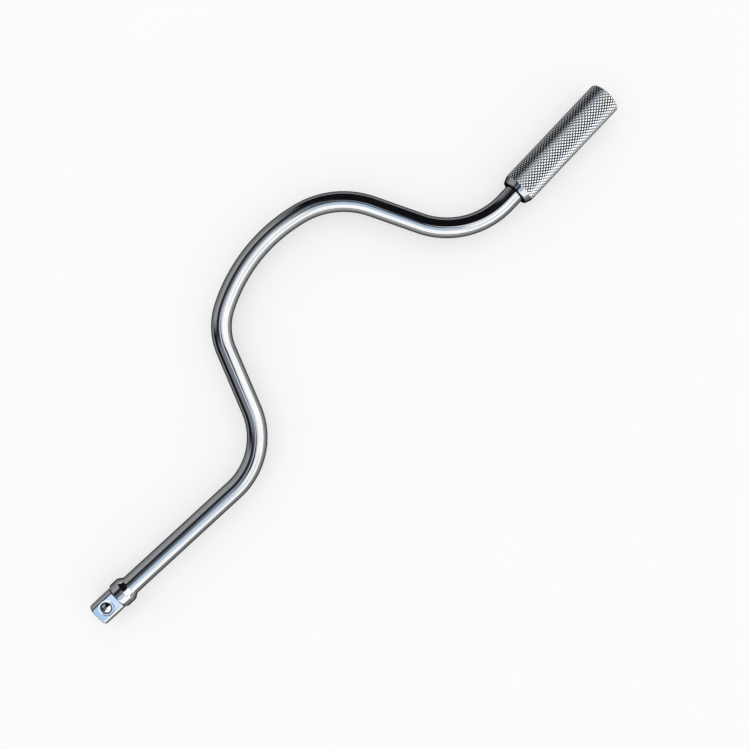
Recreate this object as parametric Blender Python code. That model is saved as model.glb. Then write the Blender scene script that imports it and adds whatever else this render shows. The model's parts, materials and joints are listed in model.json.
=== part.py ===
"""Speed brace: a cranked bar with a half-inch drive square and a free-turning grip.

Units are metres, +Z is up, and the brace lies flat. The origin is the centre of the
drive square's tip face, +X runs along the drive axis towards the grip, and the bow
stands out towards +Y.
"""
import math

import bmesh
import bpy
from mathutils import Matrix, Vector

# Gap between pieces that touch, and how far a cutter runs past the surface it cuts
FIT_GAP = 0.0003
OVERRUN = 0.0010

# Bar
BAR_DIAMETER = 0.0110

# Drive end, turned round and then milled square
SQUARE_ACROSS_FLATS = 0.0127
SQUARE_ACROSS_CORNERS = 0.0156
SQUARE_CORNER_ROUNDING = 0.0025
SQUARE_LENGTH = 0.0139
SQUARE_TURN = math.radians(5.0)
SHOULDER_FILLET = 0.0005
TIP_FACE_DIAMETER = 0.0136
TIP_CHAMFER_LENGTH = 0.0009
COLLAR_DIAMETER = 0.0148
COLLAR_LENGTH = 0.0051
COLLAR_CHAMFER_DROP = 0.0003
COLLAR_CHAMFER_LENGTH = 0.0008
COLLAR_TAPER_LENGTH = 0.0038

# Ball detent in the upper flat, held by a groove staked round it
BALL_DIAMETER = 0.00635
BALL_FROM_TIP = 0.0069
BALL_PROTRUSION = 0.0014
POCKET_DEPTH = 0.0098
STAKE_LIP_DROP = 0.0001
STAKE_GROOVE_DEPTH = 0.0002
STAKE_GROOVE_OUT = 0.0007
STAKE_RIM_WIDTH = 0.0004
SPRING_WIRE = 0.0006
SPRING_SIDE_CLEARANCE = 0.0007
SPRING_TURNS = 4

# Centreline of the crank: straights, bend radii and the angles that the bar turns
SHANK_LENGTH = 0.0975
SHANK_BEND_RADIUS = 0.0380
SHANK_BEND_ANGLE = math.radians(70.5)
RISING_LEG_LENGTH = 0.0340
BOW_SHOULDER_RADIUS = 0.0330
BOW_SHOULDER_ANGLE = math.radians(-41.0)
BOW_CROWN_RADIUS = 0.0900
BOW_CROWN_ANGLE = math.radians(-42.0)
BOW_TURN_RADIUS = 0.0460
BOW_TURN_ANGLE = math.radians(-49.5)
FALLING_LEG_LENGTH = 0.0270
GRIP_BEND_RADIUS = 0.0430
GRIP_BEND_ANGLE = math.radians(66.0)
GRIP_NECK_LENGTH = 0.0070

# Bearing of the grip on the bar's journal, from the bar's shoulder outwards
JOURNAL_SHOULDER = 0.0005
BUSH_WALL = 0.0014
BUSH_LENGTH = 0.0120
WASHER_THICKNESS = 0.0010
RING_THICKNESS = 0.0010
RING_WIDTH = 0.0017
RING_GROOVE_DEPTH = 0.0006
RING_OPENING = math.radians(44.0)
JOURNAL_PAST_GROOVE = 0.0022
JOURNAL_CHAMFER = 0.0008
JOURNAL_END_CLEARANCE = 0.0059

# Grip sleeve, a tube round the bushes, measured from its mouth
GRIP_LENGTH = 0.0700
GRIP_WALL = 0.0022
MOUTH_TAPER_DROP = 0.0014
MOUTH_TAPER_LENGTH = 0.0035
MOUTH_LIP = 0.0020
GRIP_END_CHAMFER = 0.0008
PLUG_SEAT_WIDTH = 0.0005
PLUG_THICKNESS = 0.0022
PLUG_RECESS = 0.0008
PLUG_CROWN = 0.0005
PLUG_CHAMFER = 0.0004

# How finely round forms are cut into flats
BAR_SIDES = 40
TURNED_SIDES = 48
INNER_SIDES = 32
BEND_STEP = math.radians(5.0)
TAPER_STEPS = 7
FILLET_STEPS = 4
CORNER_STEPS = 6
BALL_SEGMENTS = 32
BALL_RINGS = 16
SPRING_POINTS_PER_TURN = 10
SPRING_SIDES = 8
CROWN_STEPS = 4
RING_STEPS = 30
EDGE_ANGLE = math.radians(30.0)


def clear_scene():
    for item in list(bpy.data.objects):
        bpy.data.objects.remove(item, do_unlink=True)


def make_material(name, colour, roughness, metallic):
    material = bpy.data.materials.new(name)
    material.use_nodes = True
    shader = material.node_tree.nodes["Principled BSDF"]
    shader.inputs["Base Color"].default_value = (*colour, 1.0)
    shader.inputs["Roughness"].default_value = roughness
    shader.inputs["Metallic"].default_value = metallic
    return material


def circle(radius, sides, height=0.0):
    """Points of a circle about Z, at one height."""
    angles = [math.tau * index / sides for index in range(sides)]
    return [Vector((radius * math.cos(a), radius * math.sin(a), height)) for a in angles]


def skin(rings, closed=False):
    """Mesh through rings of as many points each, with flat ends or closed on itself."""
    bm = bmesh.new()
    rows = [[bm.verts.new(point) for point in ring] for ring in rings]
    count = len(rows)
    for index in range(count if closed else count - 1):
        lower = rows[index]
        upper = rows[(index + 1) % count]
        for side, corner in enumerate(lower):
            after = (side + 1) % len(lower)
            bm.faces.new((corner, lower[after], upper[after], upper[side]))
    if not closed:
        bm.faces.new(rows[0])
        bm.faces.new(rows[-1])
    bmesh.ops.recalc_face_normals(bm, faces=bm.faces)
    mesh = bpy.data.meshes.new("skin")
    bm.to_mesh(mesh)
    bm.free()
    return mesh


def turned_solid(profile, sides):
    """Solid of revolution about Z, from (height, radius) points between two flat ends."""
    return skin([circle(radius, sides, height) for height, radius in profile])


def turned_tube(loop, sides):
    """Ring of revolution about Z, from a closed loop of (height, radius) points."""
    return skin([circle(radius, sides, height) for height, radius in loop], closed=True)


def add_piece(name, mesh, material, parent=None, location=(0.0, 0.0, 0.0)):
    mesh.name = name
    mesh.materials.clear()
    mesh.materials.append(material)
    mesh.shade_smooth()
    mesh.set_sharp_from_angle(angle=EDGE_ANGLE)
    piece = bpy.data.objects.new(name, mesh)
    bpy.context.scene.collection.objects.link(piece)
    piece.parent = parent
    piece.location = location
    return piece


def add_cutter(name, mesh, parent):
    cutter = bpy.data.objects.new(name, mesh)
    bpy.context.scene.collection.objects.link(cutter)
    cutter.parent = parent
    cutter.hide_render = True
    cutter.display_type = "WIRE"
    return cutter


def cut(piece, cutter):
    modifier = piece.modifiers.new(cutter.name, "BOOLEAN")
    modifier.operation = "DIFFERENCE"
    modifier.solver = "EXACT"
    modifier.object = cutter


def add_empty(name, matrix):
    empty = bpy.data.objects.new(name, None)
    bpy.context.scene.collection.objects.link(empty)
    empty.matrix_world = matrix
    return empty


# Centreline

def crank_segments():
    """The bar from the tip to the end of its journal, as (length, radius, angle)."""
    bends = [
        (SHANK_LENGTH, SHANK_BEND_RADIUS, SHANK_BEND_ANGLE),
        (RISING_LEG_LENGTH, BOW_SHOULDER_RADIUS, BOW_SHOULDER_ANGLE),
        (0.0, BOW_CROWN_RADIUS, BOW_CROWN_ANGLE),
        (0.0, BOW_TURN_RADIUS, BOW_TURN_ANGLE),
        (FALLING_LEG_LENGTH, GRIP_BEND_RADIUS, GRIP_BEND_ANGLE),
    ]
    segments = []
    for straight, radius, angle in bends:
        if straight:
            segments.append((straight, None, 0.0))
        segments.append((radius * abs(angle), radius, angle))
    segments.append((GRIP_NECK_LENGTH + journal_end(), None, 0.0))
    return segments


def frame_on_crank(distance):
    """Place on the centreline, and the heading there, after a distance from the tip."""
    point = Vector((0.0, 0.0, 0.0))
    heading = 0.0
    left = distance
    segments = crank_segments()
    for index, (length, radius, angle) in enumerate(segments):
        part = left if index == len(segments) - 1 else min(left, length)
        if radius is None:
            point = point + part * Vector((math.cos(heading), math.sin(heading), 0.0))
        else:
            side = math.copysign(1.0, angle)
            turned = side * part / radius
            centre = point + side * radius * Vector((-math.sin(heading), math.cos(heading), 0.0))
            heading += turned
            point = centre + side * radius * Vector((math.sin(heading), -math.cos(heading), 0.0))
        left -= part
        if left <= 0.0:
            break
    return point, heading


def bar_ring(distance, radius):
    """One ring of the bar, square to the centreline."""
    point, heading = frame_on_crank(distance)
    across = Vector((-math.sin(heading), math.cos(heading), 0.0))
    up = Vector((0.0, 0.0, 1.0))
    return [point + across * spot.x + up * spot.y for spot in circle(radius, BAR_SIDES)]


def mouth_distance():
    """Distance along the centreline from the tip to the mouth of the grip."""
    return sum(length for length, _, _ in crank_segments()) - journal_end()


# Radii inside the grip, outwards from the journal

def journal_radius():
    return BAR_DIAMETER / 2.0 - JOURNAL_SHOULDER


def ring_groove_radius():
    return journal_radius() - RING_GROOVE_DEPTH


def bush_bore_radius():
    return journal_radius() + FIT_GAP


def bush_radius():
    return bush_bore_radius() + BUSH_WALL


def grip_bore_radius():
    return bush_radius() + FIT_GAP


def plug_bore_radius():
    return grip_bore_radius() + PLUG_SEAT_WIDTH


def grip_radius():
    return grip_bore_radius() + GRIP_WALL


# Stations inside the grip, measured from its mouth

def thrust_washer_start():
    return MOUTH_LIP + FIT_GAP


def front_bush_start():
    return thrust_washer_start() + WASHER_THICKNESS + FIT_GAP


def plug_start():
    return GRIP_LENGTH - PLUG_RECESS - PLUG_THICKNESS


def journal_end():
    return plug_start() - JOURNAL_END_CLEARANCE


def ring_groove_end():
    return journal_end() - JOURNAL_PAST_GROOVE


def ring_groove_start():
    return ring_groove_end() - RING_THICKNESS - 2.0 * FIT_GAP


def retaining_washer_start():
    return ring_groove_start() - WASHER_THICKNESS


def rear_bush_start():
    return retaining_washer_start() - FIT_GAP - BUSH_LENGTH


# Stations on the drive end

def ball_centre_height():
    """Height of the ball's centre over the drive axis, along the upper flat's normal."""
    return SQUARE_ACROSS_FLATS / 2.0 + BALL_PROTRUSION - BALL_DIAMETER / 2.0


def pocket_radius():
    return BALL_DIAMETER / 2.0 + FIT_GAP


def pocket_lip_height():
    return SQUARE_ACROSS_FLATS / 2.0 - STAKE_LIP_DROP


def pocket_floor_height():
    return SQUARE_ACROSS_FLATS / 2.0 - POCKET_DEPTH


# Crank

def drive_end_stations():
    """Turned outline of the drive end, as (distance from the tip, radius)."""
    collar_start = SQUARE_LENGTH + SHOULDER_FILLET
    collar_end = collar_start + COLLAR_LENGTH - SHOULDER_FILLET
    stations = [
        (0.0, TIP_FACE_DIAMETER / 2.0),
        (TIP_CHAMFER_LENGTH, SQUARE_ACROSS_CORNERS / 2.0),
        (SQUARE_LENGTH, SQUARE_ACROSS_CORNERS / 2.0),
        (collar_start, COLLAR_DIAMETER / 2.0 - COLLAR_CHAMFER_DROP),
        (collar_start + COLLAR_CHAMFER_LENGTH, COLLAR_DIAMETER / 2.0),
    ]
    drop = (COLLAR_DIAMETER - BAR_DIAMETER) / 2.0
    for step in range(TAPER_STEPS + 1):
        share = step / TAPER_STEPS
        radius = BAR_DIAMETER / 2.0 + drop * (1.0 + math.cos(math.pi * share)) / 2.0
        stations.append((collar_end + share * COLLAR_TAPER_LENGTH, radius))
    return stations


def bend_stations():
    """Stations at the bends of the bar, a small turn apart."""
    stations = []
    start = 0.0
    for length, radius, angle in crank_segments():
        if radius is not None:
            steps = max(2, math.ceil(abs(angle) / BEND_STEP))
            first = 1 if stations and stations[-1][0] == start else 0
            for step in range(first, steps + 1):
                stations.append((start + length * step / steps, BAR_DIAMETER / 2.0))
        start += length
    return stations


def journal_stations():
    """Shoulder, journal, ring groove and chamfered end of the bar, inside the grip."""
    journal = journal_radius()
    groove = ring_groove_radius()
    mouth = mouth_distance()
    outline = [
        (MOUTH_LIP, BAR_DIAMETER / 2.0),
        (MOUTH_LIP, journal),
        (ring_groove_start(), journal),
        (ring_groove_start(), groove),
        (ring_groove_end(), groove),
        (ring_groove_end(), journal),
        (journal_end() - JOURNAL_CHAMFER, journal),
        (journal_end(), journal - JOURNAL_CHAMFER),
    ]
    return [(mouth + along, radius) for along, radius in outline]


def square_ring(along, growth):
    """Outline of the square with rounded corners, set out by a growth, across the drive axis."""
    corner = SQUARE_ACROSS_FLATS / 2.0 - SQUARE_CORNER_ROUNDING
    rounding = SQUARE_CORNER_ROUNDING + growth
    points = []
    for quarter in range(4):
        turn = Matrix.Rotation(quarter * math.pi / 2.0, 3, "X")
        for step in range(CORNER_STEPS + 1):
            angle = math.pi / 2.0 * step / CORNER_STEPS
            across = corner + rounding * math.cos(angle)
            up = corner + rounding * math.sin(angle)
            points.append(turn @ Vector((along, across, up)))
    return points


def square_cutter_mesh():
    """What the mill takes off round the square: a sleeve whose bore ends in the shoulder's fillet."""
    wall = SHOULDER_FILLET + (SQUARE_ACROSS_CORNERS - SQUARE_ACROSS_FLATS) / 2.0 + OVERRUN
    rings = [square_ring(-OVERRUN, 0.0)]
    for step in range(FILLET_STEPS + 1):
        turn = math.pi / 2.0 * step / FILLET_STEPS
        along = SQUARE_LENGTH + SHOULDER_FILLET * math.sin(turn)
        rings.append(square_ring(along, SHOULDER_FILLET * (1.0 - math.cos(turn))))
    rings.append(square_ring(SQUARE_LENGTH + SHOULDER_FILLET, wall))
    rings.append(square_ring(-OVERRUN, wall))
    return skin(rings, closed=True)


def pocket_cutter_mesh():
    """Flat-bottomed pocket, closed in by a seat that follows the ball, and the staked groove."""
    seat = pocket_radius()
    face = SQUARE_ACROSS_FLATS / 2.0
    full_turn = math.asin((pocket_lip_height() - ball_centre_height()) / seat)
    profile = [(pocket_floor_height(), seat)]
    for step in range(FILLET_STEPS + 1):
        turn = full_turn * step / FILLET_STEPS
        profile.append((ball_centre_height() + seat * math.sin(turn), seat * math.cos(turn)))
    groove = seat * math.cos(full_turn) + STAKE_GROOVE_OUT
    profile.append((face - STAKE_GROOVE_DEPTH, groove))
    profile.append((face, groove + STAKE_RIM_WIDTH))
    profile.append((face + OVERRUN, groove + STAKE_RIM_WIDTH))
    return turned_solid(profile, INNER_SIDES)


def make_crank(drive_turn, ball_axis, material):
    stations = drive_end_stations() + bend_stations() + journal_stations()
    crank = add_piece("crank_rod", skin([bar_ring(*station) for station in stations]), material)
    cut(crank, add_cutter("square_cutter", square_cutter_mesh(), drive_turn))
    cut(crank, add_cutter("pocket_cutter", pocket_cutter_mesh(), ball_axis))
    return crank


# Detent

def make_ball(ball_axis, material):
    bm = bmesh.new()
    bmesh.ops.create_uvsphere(
        bm, u_segments=BALL_SEGMENTS, v_segments=BALL_RINGS, radius=BALL_DIAMETER / 2.0)
    mesh = bpy.data.meshes.new("detent_ball")
    bm.to_mesh(mesh)
    bm.free()
    return add_piece("detent_ball", mesh, material, ball_axis, (0.0, 0.0, ball_centre_height()))


def make_detent_spring(ball_axis, material):
    """Helix from the pocket's floor up to where its last turn cups the ball."""
    wire = SPRING_WIRE / 2.0
    mean = pocket_radius() - SPRING_SIDE_CLEARANCE - wire
    reach = BALL_DIAMETER / 2.0 + wire + FIT_GAP
    bottom = pocket_floor_height() + wire + FIT_GAP
    top = ball_centre_height() - math.sqrt(reach ** 2 - mean ** 2)
    pitch = (top - bottom) / SPRING_TURNS
    slope = math.atan2(pitch, math.tau * mean)
    rings = []
    for step in range(SPRING_TURNS * SPRING_POINTS_PER_TURN + 1):
        turn = math.tau * step / SPRING_POINTS_PER_TURN
        outward = Vector((math.cos(turn), math.sin(turn), 0.0))
        along = Vector((-math.sin(turn), math.cos(turn), 0.0))
        across = -along * math.sin(slope) + Vector((0.0, 0.0, 1.0)) * math.cos(slope)
        centre = outward * mean
        centre.z = bottom + pitch * turn / math.tau
        rings.append([centre + outward * spot.x + across * spot.y for spot in circle(wire, SPRING_SIDES)])
    return add_piece("detent_spring", skin(rings), material, ball_axis)


# Grip

def grip_sleeve_loop():
    outer = grip_radius()
    lip_bore = BAR_DIAMETER / 2.0 + FIT_GAP
    seat = plug_start() - FIT_GAP
    return [
        (0.0, outer - MOUTH_TAPER_DROP),
        (MOUTH_TAPER_LENGTH, outer),
        (GRIP_LENGTH - GRIP_END_CHAMFER, outer),
        (GRIP_LENGTH, outer - GRIP_END_CHAMFER),
        (GRIP_LENGTH, plug_bore_radius()),
        (seat, plug_bore_radius()),
        (seat, grip_bore_radius()),
        (MOUTH_LIP, grip_bore_radius()),
        (MOUTH_LIP, lip_bore),
        (0.0, lip_bore),
    ]


def end_plug_profile():
    """Pressed plug with a flat back, a chamfered rim and a slightly crowned face."""
    radius = plug_bore_radius() - FIT_GAP
    rim = radius - PLUG_CHAMFER
    face = plug_start() + PLUG_THICKNESS - PLUG_CROWN
    profile = [(plug_start(), radius), (face - PLUG_CHAMFER, radius)]
    for step in range(CROWN_STEPS):
        share = step / CROWN_STEPS
        profile.append((face + PLUG_CROWN * (1.0 - (1.0 - share) ** 2), rim * (1.0 - share)))
    return profile


def ring_shape(start, length, inner, outer):
    """Square-edged ring between two radii, as a closed loop of (height, radius)."""
    return [(start, inner), (start, outer), (start + length, outer), (start + length, inner)]


def retaining_ring_mesh():
    """Open snap ring, a square section carried round most of a circle."""
    inner = ring_groove_radius() + FIT_GAP
    start = ring_groove_start() + FIT_GAP
    section = ring_shape(start, RING_THICKNESS, inner, inner + RING_WIDTH)
    rings = []
    for step in range(RING_STEPS + 1):
        turn = RING_OPENING / 2.0 + (math.tau - RING_OPENING) * step / RING_STEPS
        rings.append([Vector((r * math.cos(turn), r * math.sin(turn), z)) for z, r in section])
    return skin(rings)


def make_grip(grip_axis, steel, bronze, chrome):
    add_piece("grip_sleeve", turned_tube(grip_sleeve_loop(), TURNED_SIDES), chrome, grip_axis)
    add_piece("end_plug", turned_solid(end_plug_profile(), TURNED_SIDES), chrome, grip_axis)
    rings = [
        ("thrust_washer", thrust_washer_start(), WASHER_THICKNESS, steel),
        ("front_bush", front_bush_start(), BUSH_LENGTH, bronze),
        ("rear_bush", rear_bush_start(), BUSH_LENGTH, bronze),
        ("retaining_washer", retaining_washer_start(), WASHER_THICKNESS, steel),
    ]
    for name, start, length, material in rings:
        section = ring_shape(start, length, bush_bore_radius(), bush_radius())
        add_piece(name, turned_tube(section, INNER_SIDES), material, grip_axis)
    add_piece("retaining_ring", retaining_ring_mesh(), steel, grip_axis)


def main():
    clear_scene()
    chrome = make_material("chrome_plate", (0.80, 0.82, 0.84), 0.10, 1.0)
    knurled = make_material("knurled_chrome", (0.70, 0.72, 0.74), 0.28, 1.0)
    ball_steel = make_material("ball_steel", (0.66, 0.66, 0.67), 0.12, 1.0)
    spring_steel = make_material("spring_steel", (0.30, 0.30, 0.32), 0.35, 1.0)
    washer_steel = make_material("washer_steel", (0.55, 0.56, 0.58), 0.35, 1.0)
    bush_bronze = make_material("bush_bronze", (0.55, 0.38, 0.20), 0.40, 1.0)

    drive_turn = add_empty("drive_turn", Matrix.Rotation(SQUARE_TURN, 4, "X"))
    along_ball = Matrix.Translation(Vector((BALL_FROM_TIP, 0.0, 0.0)))
    ball_axis = add_empty("ball_axis", Matrix.Rotation(SQUARE_TURN, 4, "X") @ along_ball)
    mouth, heading = frame_on_crank(mouth_distance())
    lay_over = Matrix.Rotation(heading, 4, "Z") @ Matrix.Rotation(math.pi / 2.0, 4, "Y")
    grip_axis = add_empty("grip_axis", Matrix.Translation(mouth) @ lay_over)

    make_crank(drive_turn, ball_axis, chrome)
    make_ball(ball_axis, ball_steel)
    make_detent_spring(ball_axis, spring_steel)
    make_grip(grip_axis, washer_steel, bush_bronze, knurled)
    bpy.context.view_layer.update()


main()
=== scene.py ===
"""Looks of the speed brace: fine surfaces, finishes, floor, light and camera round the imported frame.

Units are metres. The origin is the centre of the drive square's tip face, +X runs along the
drive axis towards the grip, the bow stands out towards +Y, and the brace lies flat, ball up.
"""

import json
import math

import bpy
from mathutils import Matrix, Vector, kdtree, noise


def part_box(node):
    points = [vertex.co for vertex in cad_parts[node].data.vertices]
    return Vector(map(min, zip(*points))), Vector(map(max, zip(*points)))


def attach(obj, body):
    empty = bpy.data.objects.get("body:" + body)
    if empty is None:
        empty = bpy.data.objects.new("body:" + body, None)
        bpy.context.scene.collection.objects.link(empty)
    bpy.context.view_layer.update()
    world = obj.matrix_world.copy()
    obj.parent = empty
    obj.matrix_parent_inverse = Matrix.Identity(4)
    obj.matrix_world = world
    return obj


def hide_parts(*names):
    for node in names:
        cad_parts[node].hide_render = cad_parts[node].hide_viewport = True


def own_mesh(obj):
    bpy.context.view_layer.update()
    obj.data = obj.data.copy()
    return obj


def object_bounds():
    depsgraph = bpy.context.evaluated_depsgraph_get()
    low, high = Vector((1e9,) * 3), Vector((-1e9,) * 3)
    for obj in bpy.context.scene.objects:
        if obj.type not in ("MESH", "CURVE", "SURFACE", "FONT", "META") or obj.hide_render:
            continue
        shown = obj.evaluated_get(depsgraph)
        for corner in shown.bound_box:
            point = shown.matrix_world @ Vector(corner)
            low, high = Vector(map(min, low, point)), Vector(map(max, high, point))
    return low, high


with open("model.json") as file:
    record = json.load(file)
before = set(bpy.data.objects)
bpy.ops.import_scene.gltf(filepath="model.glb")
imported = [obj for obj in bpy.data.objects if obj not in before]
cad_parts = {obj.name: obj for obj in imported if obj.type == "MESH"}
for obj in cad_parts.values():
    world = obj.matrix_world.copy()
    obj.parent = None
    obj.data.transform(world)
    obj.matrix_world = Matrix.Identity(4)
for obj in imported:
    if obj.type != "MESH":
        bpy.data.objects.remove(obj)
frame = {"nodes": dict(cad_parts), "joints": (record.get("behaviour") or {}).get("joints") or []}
cad_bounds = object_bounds()

# Bar and the route of its centreline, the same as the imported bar's
BAR_RADIUS = 0.0055
SHANK_LENGTH = 0.0975
SHANK_BEND_RADIUS = 0.0380
SHANK_BEND_ANGLE = math.radians(70.5)
RISING_LEG_LENGTH = 0.0340
BOW_SHOULDER_RADIUS = 0.0330
BOW_SHOULDER_ANGLE = math.radians(-41.0)
BOW_CROWN_RADIUS = 0.0900
BOW_CROWN_ANGLE = math.radians(-42.0)
BOW_TURN_RADIUS = 0.0460
BOW_TURN_ANGLE = math.radians(-49.5)
FALLING_LEG_LENGTH = 0.0270
GRIP_BEND_RADIUS = 0.0430
GRIP_BEND_ANGLE = math.radians(66.0)

# Drive end, turned round and milled square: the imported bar's sizes with finer roundings
FLAT_DISTANCE = 0.00635
LAND_RADIUS = 0.0078
CORNER_ROUNDING = 0.0025
SQUARE_LENGTH = 0.0139
SQUARE_TURN = math.radians(5.0)
SHOULDER_FILLET = 0.0003
TIP_FACE_RADIUS = 0.0068
TIP_CHAMFER_LENGTH = 0.0009
COLLAR_RADIUS = 0.0074
COLLAR_EDGE_DROP = 0.0003
COLLAR_EDGE_LENGTH = 0.0008
COLLAR_END = 0.0190
COLLAR_TAPER_END = 0.0228
EDGE_ROUNDING = 0.00030
TIP_ROUNDING = 0.00030
TIP_INNER_SHARE = 0.97
FLAT_CROWN = 0.00012

# Pocket of the ball, and the groove staked round it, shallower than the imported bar's
POCKET_SIDE_GAP = 0.0003
POCKET_FLOOR_HEIGHT = -0.00345
STAKE_LIP_DROP = 0.0001
STAKE_GROOVE_DEPTH = 0.00014
STAKE_GROOVE_OUT = 0.0007
STAKE_RIM_WIDTH = 0.0005

# Margins within which the pocket's faces and edges are found, as shares of its own sizes
POCKET_WIDER_SHARE = 1.01
POCKET_DEEPER_SHARE = 1.1
SHARP_REACH_SHARE = 1.5

# Way in which the ball moves, and the spring under it
BALL_AXIS = Vector((0.0, -math.sin(SQUARE_TURN), math.cos(SQUARE_TURN)))
SPRING_TURNS = 4
SPRING_WIRE_RADIUS = 0.0003

# Dents and waves that bending leaves in the bar
WAVE_DEPTH = 0.000035
WAVE_LENGTH = 0.016
WAVE_STRETCH = 2.5

# Knurl of the grip: crossing grooves round a tube with a plain tapered mouth
KNURL_STARTS = 28
KNURL_PITCH = 0.00224
KNURL_DEPTH = 0.00038
KNURL_SHARPNESS = 1.15
KNURL_FADE = 0.0006
KNURL_UNEVENNESS = 0.00003
KNURL_LEVEL_SHARE = 0.02
MOUTH_TAPER_LENGTH = 0.0035
MOUTH_TAPER_DROP = 0.0014
MOUTH_ROUNDING = 0.0006
END_ROUNDING = 0.0009
GRIP_BORE_RADIUS = 0.0070
LIP_BORE_RADIUS = 0.0058
LIP_LENGTH = 0.0020
PLUG_BORE_RADIUS = 0.0075
PLUG_ROUNDING = 0.0004
SAME_RADIUS = 0.0001
KNURL_START = MOUTH_TAPER_LENGTH - KNURL_FADE
OUTER_WALL_FROM = PLUG_BORE_RADIUS + END_ROUNDING / 3.0

# How finely the shown surfaces are divided
DRIVE_SIDES = 384
BAR_SIDES = 96
DRIVE_STEP = 0.0001
COLLAR_STEP = 0.0003
LAND_STEP = 3.0 * COLLAR_STEP
BAR_STEP = 0.00075
KNURL_DIVISIONS = 10
ARC_STEPS = 8
FILLET_STEPS = 6
BALL_STEPS = 48
BALL_SIDES = 128
SPRING_STEPS_PER_TURN = 32
SPRING_SIDES = 12
EDGE_ANGLE = 28.0
POCKET_EDGE_ANGLE = 4.2
KNURL_EDGE_ANGLE = 18.0
SPRING_EDGE_ANGLE = 60.0
PLUG_EDGE_ANGLE = 40.0

# Camera over the brace, in the photograph's frame of 750 pixels a side
CAMERA_PLACE = Vector((0.1942, -0.0058, 0.5300))
CAMERA_TURN = math.radians(-42.619)
CAMERA_HALF_WIDTH = 0.1999
SENSOR_WIDTH = 36.0
CLIP_START = 0.01
CLIP_END = 50.0

# Floor just below the brace's lowest place
FLOOR_GAP = 0.0002
FLOOR_RADIUS = 4.0


# Route of the bar

def crank_segments():
    """The bar from the tip to the grip's neck, as (length, radius, angle)."""
    bends = [
        (SHANK_LENGTH, SHANK_BEND_RADIUS, SHANK_BEND_ANGLE),
        (RISING_LEG_LENGTH, BOW_SHOULDER_RADIUS, BOW_SHOULDER_ANGLE),
        (0.0, BOW_CROWN_RADIUS, BOW_CROWN_ANGLE),
        (0.0, BOW_TURN_RADIUS, BOW_TURN_ANGLE),
        (FALLING_LEG_LENGTH, GRIP_BEND_RADIUS, GRIP_BEND_ANGLE),
    ]
    segments = []
    for straight, radius, angle in bends:
        if straight:
            segments.append((straight, None, 0.0))
        segments.append((radius * abs(angle), radius, angle))
    return segments


def frame_on_crank(distance):
    """Place on the centreline, and the heading there, after a distance from the tip."""
    point = Vector((0.0, 0.0, 0.0))
    heading = 0.0
    left = distance
    for length, radius, angle in crank_segments():
        part = min(left, length)
        if radius is None:
            point = point + part * Vector((math.cos(heading), math.sin(heading), 0.0))
        else:
            side = math.copysign(1.0, angle)
            centre = point + side * radius * Vector((-math.sin(heading), math.cos(heading), 0.0))
            heading += side * part / radius
            point = centre + side * radius * Vector((math.sin(heading), -math.cos(heading), 0.0))
        left -= part
        if left <= 0.0:
            return point, heading
    return point + left * Vector((math.cos(heading), math.sin(heading), 0.0)), heading


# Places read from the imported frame

def joint_named(name):
    """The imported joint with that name."""
    return next(joint for joint in frame["joints"] if joint["name"] == name)


def grip_frame():
    """Matrix from the grip's own axes to the row frame: +X along the grip, origin at its mouth."""
    joint = joint_named("grip_spin")
    axis = Vector(joint["axis"]).normalized()
    pivot = Vector(joint["pos_m"])
    mouth = min((v.co - pivot).dot(axis) for v in frame["nodes"]["grip_sleeve"].data.vertices)
    turn = Matrix.Rotation(math.atan2(axis.y, axis.x), 4, "Z")
    return Matrix.Translation(pivot + mouth * axis) @ turn


def outline_of(node, to_row):
    """Distance along the grip and radius of each vertex of a turned node."""
    back = to_row.inverted()
    spots = [back @ v.co for v in frame["nodes"][node].data.vertices]
    return [(spot.x, math.hypot(spot.y, spot.z)) for spot in spots]


def ball_place():
    """Centre and radius of the ball."""
    low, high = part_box("detent_ball")
    return (low + high) / 2.0, (high.z - low.z) / 2.0


# Meshes

def signed_volume(points, faces):
    """Six times the volume inside the faces, below zero where they point inwards."""
    return sum(points[f[0]].dot(points[a].cross(points[b])) for f in faces for a, b in zip(f[1:], f[2:]))


def mesh_from(name, points, faces):
    """Mesh whose faces point outwards, if they all point the same way."""
    corners = [Vector(p) for p in points]
    if signed_volume(corners, faces) < 0.0:
        faces = [face[::-1] for face in faces]
    mesh = bpy.data.meshes.new(name)
    mesh.from_pydata(corners, [], faces)
    mesh.validate()
    mesh.update()
    return mesh


def strip_faces(lower, upper):
    """Quads between two rings of vertex numbers with as many points each."""
    sides = len(lower)
    return [(lower[i], lower[(i + 1) % sides], upper[(i + 1) % sides], upper[i]) for i in range(sides)]


def taper_faces(fine, coarse):
    """Triangles between a fine ring and one with fewer points that line up with some of its own."""
    ratio = len(fine) // len(coarse)
    half = ratio // 2
    faces = []
    for i, corner in enumerate(coarse):
        after = coarse[(i + 1) % len(coarse)]
        chain = [fine[(ratio * i + k) % len(fine)] for k in range(ratio + 1)]
        for k in range(ratio):
            faces.append((chain[k], chain[k + 1], corner if k < half else after))
        faces.append((chain[half], after, corner))
    return faces


def add_object(name, data):
    """A new object in the scene with its mesh, lamp or camera."""
    thing = bpy.data.objects.new(name, data)
    bpy.context.scene.collection.objects.link(thing)
    return thing


def finish_shading(mesh, angle):
    """Smooth shading apart from edges sharper than an angle in degrees."""
    mesh.shade_smooth()
    mesh.set_sharp_from_angle(angle=math.radians(angle))


def arc_corner(before, corner, after, rounding):
    """Points that round the corner of an outline of (along, radius) points."""
    a, b, c = Vector(before), Vector(corner), Vector(after)
    reach_in = min(rounding, (a - b).length / 2.0)
    reach_out = min(rounding, (c - b).length / 2.0)
    start = b + (a - b).normalized() * reach_in
    end = b + (c - b).normalized() * reach_out
    points = []
    for step in range(ARC_STEPS + 1):
        t = step / ARC_STEPS
        points.append(tuple((1.0 - t) ** 2 * start + 2.0 * t * (1.0 - t) * b + t ** 2 * end))
    return points


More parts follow.
